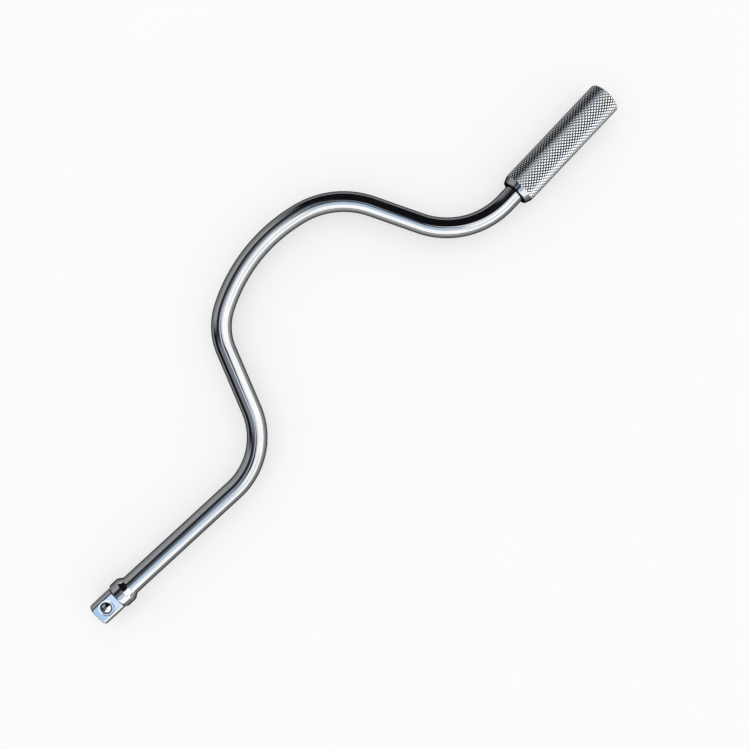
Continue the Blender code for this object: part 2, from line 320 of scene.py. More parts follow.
def rounded_outline(outline, roundings, closed=False):
    """Outline of (along, radius) points with each corner rounded by its own length."""
    points = []
    count = len(outline)
    for index, corner in enumerate(outline):
        rounding = roundings[index]
        inner = closed or 0 < index < count - 1
        if rounding and inner:
            points.extend(arc_corner(outline[index - 1], corner, outline[(index + 1) % count], rounding))
        else:
            points.append(corner)
    return points


def smooth_least(a, b, width):
    """The lesser of two lengths, with the corner between them rounded."""
    share = max(width - abs(a - b), 0.0) / width
    return min(a, b) - share * share * width / 4.0


# Crank bar

def square_growth_at(x):
    """How far the milled square's outline stands out at a distance from the tip, or None past it."""
    if x < TIP_ROUNDING:
        return math.sqrt(TIP_ROUNDING ** 2 - (TIP_ROUNDING - x) ** 2) - TIP_ROUNDING
    if x <= SQUARE_LENGTH:
        share = 2.0 * x / SQUARE_LENGTH - 1.0
        return -FLAT_CROWN * share * share
    run = x - SQUARE_LENGTH
    if run > SHOULDER_FILLET:
        return None
    return SHOULDER_FILLET - math.sqrt(max(0.0, SHOULDER_FILLET ** 2 - run ** 2)) - FLAT_CROWN


def square_radius(angle, growth):
    """Radius of the rounded square at an angle from the middle of its nearest flat."""
    corner = FLAT_DISTANCE - CORNER_ROUNDING
    rounding = CORNER_ROUNDING + growth
    cosine = math.cos(angle)
    sine = abs(math.sin(angle))
    if (FLAT_DISTANCE + growth) * sine <= corner * cosine:
        return (FLAT_DISTANCE + growth) / cosine
    return corner * (cosine + sine) + math.sqrt(rounding ** 2 - (corner * (cosine - sine)) ** 2)


def turned_radius_at(x):
    """Radius of the turned blank: tip chamfer, corner lands, collar, and the neck down to the bar."""
    if x <= TIP_CHAMFER_LENGTH:
        return TIP_FACE_RADIUS + (LAND_RADIUS - TIP_FACE_RADIUS) * x / TIP_CHAMFER_LENGTH
    if x <= SQUARE_LENGTH:
        return LAND_RADIUS
    collar_start = SQUARE_LENGTH + SHOULDER_FILLET
    edge = COLLAR_RADIUS - COLLAR_EDGE_DROP
    if x <= collar_start:
        return LAND_RADIUS + (edge - LAND_RADIUS) * (x - SQUARE_LENGTH) / SHOULDER_FILLET
    if x <= COLLAR_END:
        share = min(1.0, (x - collar_start) / COLLAR_EDGE_LENGTH)
        return edge + COLLAR_EDGE_DROP * share * (2.0 - share)
    share = min(1.0, (x - COLLAR_END) / (COLLAR_TAPER_END - COLLAR_END))
    return BAR_RADIUS + (COLLAR_RADIUS - BAR_RADIUS) * (1.0 + math.cos(math.pi * share)) / 2.0


def spread(start, end, step):
    """Even stations from start up to, but not at, end."""
    count = max(1, round((end - start) / step))
    return [start + (end - start) * index / count for index in range(count)]


def drive_stations():
    """Distances from the tip at which the drive end has a ring, close together where it curves."""
    collar_start = SQUARE_LENGTH + SHOULDER_FILLET
    stations = []
    for index in range(FILLET_STEPS):
        stations.append(TIP_ROUNDING * (1.0 - math.cos(math.pi / 2.0 * index / FILLET_STEPS)))
    stations += spread(TIP_ROUNDING, TIP_CHAMFER_LENGTH + 2.0 * COLLAR_STEP, DRIVE_STEP)
    stations += spread(stations[-1] + COLLAR_STEP, SQUARE_LENGTH, LAND_STEP)
    for index in range(FILLET_STEPS + 1):
        stations.append(SQUARE_LENGTH + SHOULDER_FILLET * math.sin(math.pi / 2.0 * index / FILLET_STEPS))
    stations.append(collar_start + DRIVE_STEP / 10.0)
    stations += spread(collar_start + DRIVE_STEP, collar_start + COLLAR_EDGE_LENGTH, DRIVE_STEP)
    stations += spread(collar_start + COLLAR_EDGE_LENGTH, COLLAR_TAPER_END + COLLAR_STEP, COLLAR_STEP)
    return stations


def drive_ring(x):
    """One ring of the drive end: the turned blank, cut back by the milled square."""
    turned = turned_radius_at(x)
    growth = square_growth_at(x)
    points = []
    for side in range(DRIVE_SIDES):
        angle = math.tau * side / DRIVE_SIDES
        radius = turned
        if growth is not None:
            from_flat = (angle - SQUARE_TURN + math.pi / 4.0) % (math.pi / 2.0) - math.pi / 4.0
            radius = smooth_least(turned, square_radius(from_flat, growth), EDGE_ROUNDING)
        points.append((x, radius * math.cos(angle), radius * math.sin(angle)))
    return points


def wave_at(distance, across, up):
    """How far the bar's surface stands in or out at a place on the straightened bar."""
    place = Vector((distance / (WAVE_LENGTH * WAVE_STRETCH), across / WAVE_LENGTH, up / WAVE_LENGTH))
    return WAVE_DEPTH * noise.noise(place)


def bar_ring(distance, radius, waves):
    """One ring round the centreline, with a share of the waves."""
    point, heading = frame_on_crank(distance)
    across = Vector((-math.sin(heading), math.cos(heading), 0.0))
    points = []
    for side in range(BAR_SIDES):
        angle = math.tau * side / BAR_SIDES
        lift = waves * wave_at(distance, radius * math.cos(angle), radius * math.sin(angle))
        outward = across * math.cos(angle) + Vector((0.0, 0.0, math.sin(angle)))
        points.append(tuple(point + outward * (radius + lift)))
    return points


def journal_outline(mouth_distance, to_row):
    """Shoulder, journal, groove and chamfered end of the bar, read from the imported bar."""
    spots = {(round(x, 6), round(r, 6)) for x, r in outline_of("crank_rod", to_row) if x > LIP_LENGTH / 2.0}
    left = sorted(spots)
    path = []
    radius = BAR_RADIUS
    while left:
        level = [spot for spot in left if spot[0] - left[0][0] < DRIVE_STEP / 2.0]
        level.sort(key=lambda spot: abs(spot[1] - radius))
        for spot in level:
            left.remove(spot)
            path.append((mouth_distance + spot[0], spot[1]))
        radius = path[-1][1]
    return path


def height_of(centre):
    """The ball's height over the bar's centreline, square to the flat it stands in."""
    return math.hypot(centre.y, centre.z)


def mouth_radius(height, seat):
    """Radius at which the seat round the ball meets the lip staked over it."""
    return math.sqrt(seat ** 2 - (FLAT_DISTANCE - STAKE_LIP_DROP - height) ** 2)


def pocket_cutter(centre, ball_radius):
    """Pocket under the ball, its seat round the ball, and the groove staked into the flat."""
    seat = ball_radius + POCKET_SIDE_GAP
    height = height_of(centre)
    full_turn = math.acos(mouth_radius(height, seat) / seat)
    profile = [(POCKET_FLOOR_HEIGHT, 0.0), (POCKET_FLOOR_HEIGHT, seat)]
    for step in range(ARC_STEPS + 1):
        turn = full_turn * step / ARC_STEPS
        profile.append((height + seat * math.sin(turn), seat * math.cos(turn)))
    groove = mouth_radius(height, seat) + STAKE_GROOVE_OUT
    slope = STAKE_RIM_WIDTH / STAKE_GROOVE_DEPTH
    above = FLAT_DISTANCE + STAKE_GROOVE_DEPTH
    profile += [
        (FLAT_DISTANCE - STAKE_GROOVE_DEPTH, groove),
        (above, groove + STAKE_RIM_WIDTH + (above - FLAT_DISTANCE) * slope),
        (above, 0.0),
    ]
    mesh = turned_mesh("pocket_cutter", profile, BALL_SIDES)
    mesh.transform(Matrix.Rotation(-math.pi / 2.0, 4, "Y"))
    mesh.transform(Matrix.Translation(Vector((centre.x, 0.0, 0.0))) @ Matrix.Rotation(SQUARE_TURN, 4, "X"))
    return add_object("pocket_cutter", mesh)


def sharpen_near(mesh, centre, reach, angle):
    """Marks edges near a place sharp from a lower angle, for the shallow staked groove."""
    normals = {}
    for face in mesh.polygons:
        for key in face.edge_keys:
            normals.setdefault(key, []).append(face.normal)
    least = math.cos(math.radians(angle))
    for edge in mesh.edges:
        pair = normals.get(edge.key, ())
        middle = (mesh.vertices[edge.vertices[0]].co + mesh.vertices[edge.vertices[1]].co) / 2.0
        if len(pair) == 2 and (middle - centre).length < reach and pair[0].dot(pair[1]) < least:
            edge.use_edge_sharp = True


def finish_pocket(bar, pocket_shade, staked):
    """Gives the pocket's walls a near-black metal, painted shade inside the pocket, and the groove staked
    round it its own finish.

    Two faults are known. Straight below the ball there is no lower limit, so a disc of the opposite
    flat, which should be chrome, gets the painted pocket shade too. The staked ring's faces lie exactly on
    the upper limit of height, where rounding leaves out about half of them. So the axis is worked out
    here from the ball's place: BALL_AXIS differs in its last digits and picks other faces.
    """
    centre, ball_radius = ball_place()
    axis = centre.cross(Vector((1.0, 0.0, 0.0))).cross(Vector((-1.0, 0.0, 0.0))).normalized()
    seat = ball_radius + POCKET_SIDE_GAP
    groove_floor = FLAT_DISTANCE - STAKE_GROOVE_DEPTH
    groove_end = mouth_radius(height_of(centre), seat) + STAKE_GROOVE_OUT + STAKE_RIM_WIDTH
    bar.data.materials.append(pocket_shade)
    bar.data.materials.append(staked)
    for face in bar.data.polygons:
        off = face.center - centre
        height = face.center.dot(axis)
        beside = (off - off.dot(axis) * axis).length
        below = POCKET_DEEPER_SHARE * POCKET_FLOOR_HEIGHT < height < groove_floor
        in_pocket = below and beside < POCKET_WIDER_SHARE * seat
        # Faces in and under the pocket get the painted pocket shade
        if in_pocket or (height < FLAT_DISTANCE and beside < ball_radius):
            face.material_index = 1
        elif beside < groove_end and groove_floor - STAKE_LIP_DROP < height < FLAT_DISTANCE - FLAT_CROWN:
            face.material_index = 2


def turned_mesh(name, profile, sides):
    """Solid of revolution about X from (along, radius) points that start and end on the axis."""
    points = [(profile[0][0], 0.0, 0.0)]
    rings = []
    for along, radius in profile[1:-1]:
        first = len(points)
        for side in range(sides):
            angle = math.tau * side / sides
            points.append((along, radius * math.cos(angle), radius * math.sin(angle)))
        rings.append(list(range(first, first + sides)))
    last = len(points)
    points.append((profile[-1][0], 0.0, 0.0))
    faces = []
    for lower, upper in zip(rings, rings[1:]):
        faces.extend(strip_faces(lower, upper))
    for i in range(sides):
        after = (i + 1) % sides
        faces.append((0, rings[0][after], rings[0][i]))
        faces.append((last, rings[-1][i], rings[-1][after]))
    return mesh_from(name, points, faces)


def make_crank_bar(to_row):
    """The whole bar, skinned ring by ring from tip to journal, with the ball's pocket cut in."""
    mouth_distance = sum(length for length, _, _ in crank_segments())
    neck_end, _ = frame_on_crank(mouth_distance)
    mouth_distance += (to_row.translation - neck_end).length
    points = []
    rings = []

    def add_ring(ring):
        rings.append(list(range(len(points), len(points) + len(ring))))
        points.extend(ring)

    add_ring([(x, y * TIP_INNER_SHARE, z * TIP_INNER_SHARE) for x, y, z in drive_ring(0.0)])
    for x in drive_stations():
        add_ring(drive_ring(x))
    first = COLLAR_TAPER_END + 2.0 * COLLAR_STEP
    shown_end = mouth_distance + LIP_LENGTH
    for distance in spread(first, shown_end, BAR_STEP):
        waves = min(1.0, (distance - first) / WAVE_LENGTH, (shown_end - distance) / WAVE_LENGTH)
        add_ring(bar_ring(distance, BAR_RADIUS, waves))
    for distance, radius in journal_outline(mouth_distance, to_row):
        add_ring(bar_ring(distance, radius, 0.0))
    faces = [tuple(rings[0][::-1]), tuple(rings[-1])]
    for lower, upper in zip(rings, rings[1:]):
        faces.extend(taper_faces(lower, upper) if len(lower) > len(upper) else strip_faces(lower, upper))
    bar = add_object("crank_bar", mesh_from("crank_bar", points, faces))
    centre, radius = ball_place()
    cutter = pocket_cutter(centre, radius)
    cut = bar.modifiers.new("pocket", "BOOLEAN")
    cut.operation = "DIFFERENCE"
    cut.solver = "EXACT"
    cut.object = cutter
    apply_modifiers(bar)
    bpy.data.objects.remove(cutter)
    finish_shading(bar.data, EDGE_ANGLE)
    sharpen_near(bar.data, centre, SHARP_REACH_SHARE * radius, POCKET_EDGE_ANGLE)
    straighten_on_bar(bar.data, mouth_distance)
    return bar


def apply_modifiers(piece):
    """Makes the modified mesh the piece's own."""
    graph = bpy.context.evaluated_depsgraph_get()
    mesh = bpy.data.meshes.new_from_object(piece.evaluated_get(graph))
    piece.modifiers.clear()
    piece.data = mesh


def straighten_on_bar(mesh, mouth_distance):
    """Stores each vertex's place on the straightened bar, which the finish follows."""
    stations = spread(0.0, mouth_distance, BAR_STEP)
    frames = [frame_on_crank(distance) for distance in stations]
    tree = kdtree.KDTree(len(frames))
    for index, (point, _) in enumerate(frames):
        tree.insert(point, index)
    tree.balance()
    places = []
    for vertex in mesh.vertices:
        _, index, _ = tree.find(vertex.co)
        point, heading = frames[index]
        off = vertex.co - point
        along = off.x * math.cos(heading) + off.y * math.sin(heading)
        across = off.y * math.cos(heading) - off.x * math.sin(heading)
        places.extend((stations[index] + along, across, vertex.co.z))
    layer = mesh.attributes.new("straightened", "FLOAT_VECTOR", "POINT")
    layer.data.foreach_set("vector", places)


# Ball

def make_ball():
    """The ball, as a solid turned about an upright axis."""
    centre, radius = ball_place()
    profile = []
    for step in range(BALL_STEPS + 1):
        turn = math.pi * step / BALL_STEPS
        profile.append((-radius * math.cos(turn), radius * math.sin(turn)))
    mesh = turned_mesh("ball", profile, BALL_SIDES)
    mesh.transform(Matrix.Translation(centre) @ Matrix.Rotation(math.pi / 2.0, 4, "Y"))
    mesh.shade_smooth()
    return add_object("ball", mesh)


# Spring

def spring_sizes():
    """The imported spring's place along the bar, its reach from its axis, and its lowest and highest place."""
    foot = Vector((ball_place()[0].x, 0.0, 0.0))
    spots = [v.co - foot for v in frame["nodes"]["detent_spring"].data.vertices]
    heights = [spot.dot(BALL_AXIS) for spot in spots]
    reach = max((spot - height * BALL_AXIS).length for spot, height in zip(spots, heights))
    return foot, reach, min(heights), max(heights)


def make_spring():
    """Even turns of round wire from the pocket's floor up to where the last one cups the ball."""
    foot, reach, low, high = spring_sizes()
    mean = reach - SPRING_WIRE_RADIUS
    climb = high - low - 2.0 * SPRING_WIRE_RADIUS
    sideways = Vector((1.0, 0.0, 0.0))
    other = BALL_AXIS.cross(sideways)
    slope = math.atan2(climb / SPRING_TURNS, math.tau * mean)
    points = []
    rings = []
    steps = SPRING_TURNS * SPRING_STEPS_PER_TURN
    for step in range(steps + 1):
        turn = math.tau * step / SPRING_STEPS_PER_TURN
        outward = math.cos(turn) * sideways + math.sin(turn) * other
        onward = math.cos(turn) * other - math.sin(turn) * sideways
        across = math.cos(slope) * BALL_AXIS - math.sin(slope) * onward
        height = low + SPRING_WIRE_RADIUS + climb * step / steps
        centre = foot + mean * outward + height * BALL_AXIS
        rings.append(list(range(len(points), len(points) + SPRING_SIDES)))
        for side in range(SPRING_SIDES):
            angle = math.tau * side / SPRING_SIDES
            spot = math.cos(angle) * outward + math.sin(angle) * across
            points.append(tuple(centre + SPRING_WIRE_RADIUS * spot))
    faces = [tuple(rings[0][::-1]), tuple(rings[-1])]
    for lower, upper in zip(rings, rings[1:]):
        faces.extend(strip_faces(lower, upper))
    mesh = mesh_from("coil_spring", points, faces)
    finish_shading(mesh, SPRING_EDGE_ANGLE)
    return add_object("coil_spring", mesh)


def press_with_ball(spring):
    """Gives the spring a mesh of its own."""
    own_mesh(spring)


# Grip

def knurl_share(turn_share, along):
    """Height between the grooves, from 0 in a groove to 1 on a diamond's rounded top."""
    shares = []
    for hand in (1.0, -1.0):
        place = (KNURL_STARTS * turn_share + hand * along / KNURL_PITCH) % 1.0
        shares.append(1.0 - abs(2.0 * place - 1.0))
    slant = min(1.0, KNURL_SHARPNESS * min(shares))
    return slant * (2.0 - slant)


def knurl_drop(turn_share, along, end):
    """How deep the knurl lies under its crests at a place on the sleeve."""
    fade = min(1.0, max(0.0, (along - KNURL_START) / KNURL_FADE), max(0.0, (end - along) / KNURL_FADE))
    return fade * KNURL_DEPTH * (1.0 - knurl_share(turn_share, along))


def knurl_wander(turn_share, along, radius):
    """Small unevenness of the rolled crests."""
    angle = math.tau * turn_share
    place = Vector((along, radius * math.cos(angle), radius * math.sin(angle))) / KNURL_PITCH
    return KNURL_UNEVENNESS * noise.noise(place)


def sleeve_outline(length, radius, seat):
    """Closed outline of the sleeve's wall, as (along, radius) points with rounded corners."""
    corners = [
        (0.0, LIP_BORE_RADIUS),
        (0.0, radius - MOUTH_TAPER_DROP),
        (MOUTH_TAPER_LENGTH, radius),
        (length, radius),
        (length, PLUG_BORE_RADIUS),
        (seat, PLUG_BORE_RADIUS),
        (seat, GRIP_BORE_RADIUS),
        (LIP_LENGTH, GRIP_BORE_RADIUS),
        (LIP_LENGTH, LIP_BORE_RADIUS),
    ]
    small = MOUTH_ROUNDING / 4.0
    roundings = [small, MOUTH_ROUNDING, MOUTH_ROUNDING, END_ROUNDING, small, 0.0, 0.0, 0.0, 0.0]
    return rounded_outline(corners, roundings, closed=True)


def divided_outline(outline):
    """The sleeve's outline with even stations along its outer side, where the knurl is."""
    step = KNURL_PITCH / KNURL_DIVISIONS
    path = []
    for along, reach in outline:
        if path and along - path[-1][0] > 2.0 * step and reach > GRIP_BORE_RADIUS + MOUTH_ROUNDING:
            before = path[-1]
            first = math.ceil(before[0] / step + 0.5)
            for index in range(first, math.floor(along / step - 0.5) + 1):
                share = (index * step - before[0]) / (along - before[0])
                path.append((index * step, before[1] + (reach - before[1]) * share))
        path.append((along, reach))
    return path


def sleeve_points(path, length, radius, sides):
    """Points of the sleeve ring by ring, sunk where the knurl's grooves run."""
    points = []
    for along, reach in path:
        for side in range(sides):
            share = side / sides
            r = reach
            if reach > OUTER_WALL_FROM:
                r -= knurl_drop(share, along, length + KNURL_FADE / 3.0)
                if KNURL_START < along < length:
                    r += knurl_wander(share, along, radius) - KNURL_UNEVENNESS
            angle = math.tau * share
            points.append((along, r * math.cos(angle), r * math.sin(angle)))
    return points


def sleeve_faces(path, length, sides):
    """Quads between the rings, split on the knurl along whichever diagonal follows its slopes."""
    faces = []
    rows = len(path)
    for row in range(rows):
        lower = row * sides
        upper = ((row + 1) % rows) * sides
        near, far = path[row][0], path[(row + 1) % rows][0]
        knurled = KNURL_START < near < length and path[row][1] > OUTER_WALL_FROM
        for side in range(sides):
            after = (side + 1) % sides
            a, b, c, d = lower + side, lower + after, upper + after, upper + side
            if not knurled:
                faces.append((a, b, c, d))
                continue
            middle = knurl_share((side + 0.5) / sides, (near + far) / 2.0)
            ends = knurl_share(side / sides, near) + knurl_share((side + 1.0) / sides, far)
            if abs(ends / 2.0 - middle) < KNURL_LEVEL_SHARE:
                faces.extend(((a, b, c), (a, c, d)))
            else:
                faces.extend(((a, b, d), (b, c, d)))
    return faces


def groove_shares(path, length, sides):
    """How deep each point lies in a groove, from 0 on a crest to 1, for the painted groove shade and the
    grooves' roughness.
    """
    shares = []
    for along, reach in path:
        for side in range(sides):
            drop = knurl_drop(side / sides, along, length) if reach > OUTER_WALL_FROM else 0.0
            shares.append(drop / KNURL_DEPTH)
    return shares


def make_knurled_sleeve(to_row):
    """The sleeve, with the knurl as real grooves on its outer side."""
    outline = outline_of("grip_sleeve", to_row)
    length = max(x for x, _ in outline)
    radius = max(r for _, r in outline)
    seat = max(x for x, r in outline if abs(r - GRIP_BORE_RADIUS) < SAME_RADIUS)
    path = divided_outline(sleeve_outline(length, radius, seat))
    sides = KNURL_STARTS * KNURL_DIVISIONS
    points = sleeve_points(path, length, radius, sides)
    mesh = mesh_from("knurled_sleeve", points, sleeve_faces(path, length, sides))
    layer = mesh.attributes.new("straightened", "FLOAT_VECTOR", "POINT")
    layer.data.foreach_set("vector", [value for point in points for value in point])
    depth = mesh.attributes.new("groove", "FLOAT", "POINT")
    depth.data.foreach_set("value", groove_shares(path, length, sides))
    finish_shading(mesh, KNURL_EDGE_ANGLE)
    mesh.transform(to_row)
    return add_object("knurled_sleeve", mesh)


def make_plug(to_row):
    """The plug's cap, slightly domed and rounded at its rim."""
    outline = outline_of("end_plug", to_row)
    start = min(x for x, _ in outline)
    face = max(x for x, _ in outline)
    radius = max(r for _, r in outline)
    rim = max(x for x, r in outline if r > radius - PLUG_ROUNDING / 10.0)
    corners = [
        (start, 0.0), (start, radius), (rim + PLUG_ROUNDING, radius), (face, radius / 3.0), (face, 0.0),
    ]
    roundings = [0.0, PLUG_ROUNDING / 2.0, PLUG_ROUNDING, radius / 2.0, 0.0]
    mesh = turned_mesh("plug_cap", rounded_outline(corners, roundings), BAR_SIDES)
    finish_shading(mesh, PLUG_EDGE_ANGLE)
    mesh.transform(to_row)
    return add_object("plug_cap", mesh)


# Materials

# How far a surface turns away before painted shade starts to darken chrome's colour, and where it reaches its
# rim value
PAINTED_RIM_FALL = (0.26, 0.37)

# Milled flats: added roughness, the colour at each end of a painted reflection that runs from bluish at the
# tip to pale at the shoulder, and how far off the axis they turn to plain chrome
MILLED_ROUGHNESS = 0.08
MILLED_PAINTED_REFLECTION_AT_TIP = (0.51, 0.58, 0.66, 1.0)
MILLED_PAINTED_REFLECTION_AT_SHOULDER = (0.74, 0.76, 0.75, 1.0)
CORNER_FROM = 0.0073
CORNER_TO = 0.0076

# Fine marks: how many to a metre along and across the bar, the reliefs, and how much finer grain is than
# clouds
RUB_MARKS = (120.0, 1600.0, 1600.0)
RUB_RELIEF = 0.00001
GRAIN_RELIEF = 0.00003
PLAIN_RELIEF = 0.00002
GRAIN_FINER = 12.0

# How much more blue than red there is in a cool grey and in a faintly cool one
COOL = 1.03
FAINT_COOL = 1.02

# Chrome of the bar: clouds in a metre, shades, painted rim shades, and how rough the clouds and the rub marks
# are
BAR_CLOUDS = 60.0
BAR_SHADE_SPREAD = (0.35, 0.70)
BAR_DARK = 0.45
BAR_LIGHT = 0.49
BAR_PAINTED_RIM_SHADE = 0.21
FLAT_PAINTED_RIM_SHADE = 0.12
BAR_GLOSS_SPREAD = (0.30, 0.75)
BAR_ROUGHNESS = (0.045, 0.085)
RUB_SPREAD = (0.55, 0.80)
RUB_ROUGHNESS = 0.06

# Chrome of the knurl: clouds and grain in a metre, shades with a painted shade in the grooves, painted rim
# shade, and how rough the crests and grooves are
KNURL_CLOUDS = 150.0
KNURL_GRAIN = 2600.0
GROOVE_SPREAD = (0.10, 0.80)
CREST_DARK = 0.84
CREST_LIGHT = 0.96
GROOVE_PAINTED_SHADE = 0.30
MOUTH_SHADE = 0.42
KNURL_PAINTED_RIM_SHADE = 0.15
KNURL_ROUGHNESS = (0.03, 0.07)
GROOVE_ROUGHNESS = 0.12

# Middle range of a noise, spread over the whole of what it drives
NOISE_SPREAD = (0.3, 0.7)

# Floor: mottles in a metre, its two shades and its roughness
FLOOR_MOTTLES = 30.0
FLOOR_DARK = 0.93
FLOOR_LIGHT = 0.95
FLOOR_ROUGHNESS = 0.9


class Tree:
    """Shorthand for building a node tree."""

    def __init__(self, tree):
        self.tree = tree

    def node(self, kind, **settings):
        made = self.tree.nodes.new(kind)
        for name, value in settings.items():
            setattr(made, name, value)
        return made

    def link(self, source, target):
        self.tree.links.new(source, target)

    def feed(self, socket, value):
        if isinstance(value, bpy.types.NodeSocket):
            self.link(value, socket)
        else:
            socket.default_value = value

    def math(self, operation, a, b=0.0):
        made = self.node("ShaderNodeMath", operation=operation)
        self.feed(made.inputs[0], a)
        self.feed(made.inputs[1], b)
        return made.outputs[0]

    def ramp(self, value, low, high, to_low=0.0, to_high=1.0):
        made = self.node("ShaderNodeMapRange", interpolation_type="SMOOTHSTEP")
        self.feed(made.inputs["Value"], value)
        made.inputs["From Min"].default_value = low
        made.inputs["From Max"].default_value = high
        made.inputs["To Min"].default_value = to_low
        made.inputs["To Max"].default_value = to_high
        return made.outputs["Result"]

    def rise(self, value, degrees, soft):
        return self.ramp(value, math.radians(degrees - soft / 2.0), math.radians(degrees + soft / 2.0))

    def fall(self, value, degrees, soft):
        return self.math("SUBTRACT", 1.0, self.rise(value, degrees, soft))

    def stretched(self, vector, scale):
        made = self.node("ShaderNodeVectorMath", operation="MULTIPLY")
        self.feed(made.inputs[0], vector)
        made.inputs[1].default_value = scale
        return made.outputs[0]

    def noise(self, vector, scale, detail=3.0, roughness=0.5):
        made = self.node("ShaderNodeTexNoise")
        self.feed(made.inputs["Vector"], vector)
        made.inputs["Scale"].default_value = scale
        made.inputs["Detail"].default_value = detail
        made.inputs["Roughness"].default_value = roughness
        return made.outputs["Fac"]

    def mix(self, share, a, b):
        made = self.node("ShaderNodeMix", data_type="RGBA")
        self.feed(made.inputs["Factor"], share)
        self.feed(made.inputs[6], a)
        self.feed(made.inputs[7], b)
        return made.outputs[2]


def metal(name, edge_tint=1.0):
    """A new metal with its node tree and shader."""
    material = bpy.data.materials.new(name)
    material.use_nodes = True
    tree = Tree(material.node_tree)
    shader = material.node_tree.nodes["Principled BSDF"]
    shader.inputs["Metallic"].default_value = 1.0
    shader.inputs["Specular Tint"].default_value = (edge_tint, edge_tint, edge_tint, 1.0)
    return material, tree, shader


def grey(level, blue=1.0):
    """A grey, or a cool one where blue is above 1."""
    return (level, level * (1.0 + blue) / 2.0, level * blue, 1.0)


def bump(tree, shader, height, strength, distance):
    """Relief too fine for the mesh."""
    made = tree.node("ShaderNodeBump")
    made.inputs["Strength"].default_value = strength
    made.inputs["Distance"].default_value = distance
    tree.link(height, made.inputs["Height"])
    tree.link(made.outputs["Normal"], shader.inputs["Normal"])


def painted_dark_rims(tree, colour, edge):
    """Painted shade at the rims: colour that darkens to its edge value as the surface turns away."""
    facing = tree.node("ShaderNodeLayerWeight").outputs["Facing"]
    return tree.mix(tree.ramp(facing, *PAINTED_RIM_FALL), colour, edge)


def chrome_bar_material():
    """Polished chrome plate with fine rub marks, faint clouds and painted shade at its rims, duller and
    lighter on the milled flats, whose colour is a painted reflection from bluish at the tip to pale at the
    shoulder.
    """
    material, tree, shader = metal("chrome_bar", edge_tint=0.0)
    place = tree.node("ShaderNodeAttribute", attribute_name="straightened").outputs["Vector"]
    along = tree.node("ShaderNodeSeparateXYZ")
    tree.link(place, along.inputs[0])
    milled_end = SQUARE_LENGTH + SHOULDER_FILLET
    off_axis = tree.node("ShaderNodeVectorMath", operation="LENGTH")
    tree.link(tree.stretched(place, (0.0, 1.0, 1.0)), off_axis.inputs[0])
    on_flat = tree.ramp(off_axis.outputs["Value"], CORNER_FROM, CORNER_TO, 1.0, 0.0)
    before_shoulder = tree.ramp(along.outputs["X"], SQUARE_LENGTH, milled_end, 1.0, 0.0)
    milled = tree.math("MULTIPLY", on_flat, before_shoulder)
    # Painted reflection on the flats: bluish at the tip, pale towards the shoulder
    painted_reflection_along_flat = tree.ramp(along.outputs["X"], 0.0, SQUARE_LENGTH)
    cloud = tree.noise(place, BAR_CLOUDS, detail=4.0)
    rubbed = tree.noise(tree.stretched(place, RUB_MARKS), 1.0, detail=5.0, roughness=0.6)
    shade = tree.ramp(cloud, *BAR_SHADE_SPREAD)
    colour = tree.mix(shade, grey(BAR_DARK, COOL), grey(BAR_LIGHT, FAINT_COOL))
    colour = tree.mix(milled, colour, tree.mix(painted_reflection_along_flat, MILLED_PAINTED_REFLECTION_AT_TIP, MILLED_PAINTED_REFLECTION_AT_SHOULDER))
    # Painted shade at the rims, darker on the milled flats than on the round bar
    rim = tree.mix(milled, grey(BAR_PAINTED_RIM_SHADE, COOL), grey(FLAT_PAINTED_RIM_SHADE, COOL))
    tree.link(painted_dark_rims(tree, colour, rim), shader.inputs["Base Color"])
    clouded = tree.ramp(cloud, *BAR_GLOSS_SPREAD, *BAR_ROUGHNESS)
    marked = tree.math("MULTIPLY", tree.ramp(rubbed, *RUB_SPREAD), RUB_ROUGHNESS)
    rough = tree.math("ADD", clouded, marked)
    dull = tree.math("MULTIPLY", milled, MILLED_ROUGHNESS)
    tree.link(tree.math("ADD", rough, dull), shader.inputs["Roughness"])
    bump(tree, shader, rubbed, 0.25, RUB_RELIEF)
    return material


def knurl_material():
    """Chrome over the rolled knurl, bright on the crests, dull and with painted shade in the grooves, dark at
    the mouth, with painted shade at its rims.
    """
    material, tree, shader = metal("knurled_chrome", edge_tint=0.0)
    place = tree.node("ShaderNodeAttribute", attribute_name="straightened").outputs["Vector"]
    groove = tree.node("ShaderNodeAttribute", attribute_name="groove").outputs["Fac"]
    cloud = tree.noise(place, KNURL_CLOUDS, detail=4.0)
    grain = tree.noise(place, KNURL_GRAIN, detail=2.0)
    along = tree.node("ShaderNodeSeparateXYZ")
    tree.link(place, along.inputs[0])
    mouth = tree.ramp(along.outputs["X"], KNURL_START, MOUTH_TAPER_LENGTH, 1.0, 0.0)
    # Painted shade in the grooves, which are also made rougher
    groove_shade_and_dullness = tree.ramp(groove, *GROOVE_SPREAD)
    crest = tree.mix(cloud, grey(CREST_DARK, FAINT_COOL), grey(CREST_LIGHT, FAINT_COOL))
    colour = tree.mix(groove_shade_and_dullness, crest, grey(GROOVE_PAINTED_SHADE, COOL))
    colour = tree.mix(mouth, colour, grey(MOUTH_SHADE, COOL))
    # Painted shade at the knurl's rims
    tree.link(painted_dark_rims(tree, colour, grey(KNURL_PAINTED_RIM_SHADE, COOL)), shader.inputs["Base Color"])
    clouded = tree.ramp(cloud, *NOISE_SPREAD, *KNURL_ROUGHNESS)
    rough = tree.math("ADD", clouded, tree.math("MULTIPLY", groove_shade_and_dullness, GROOVE_ROUGHNESS))
    tree.link(rough, shader.inputs["Roughness"])
    bump(tree, shader, grain, 0.35, GRAIN_RELIEF)
    return material


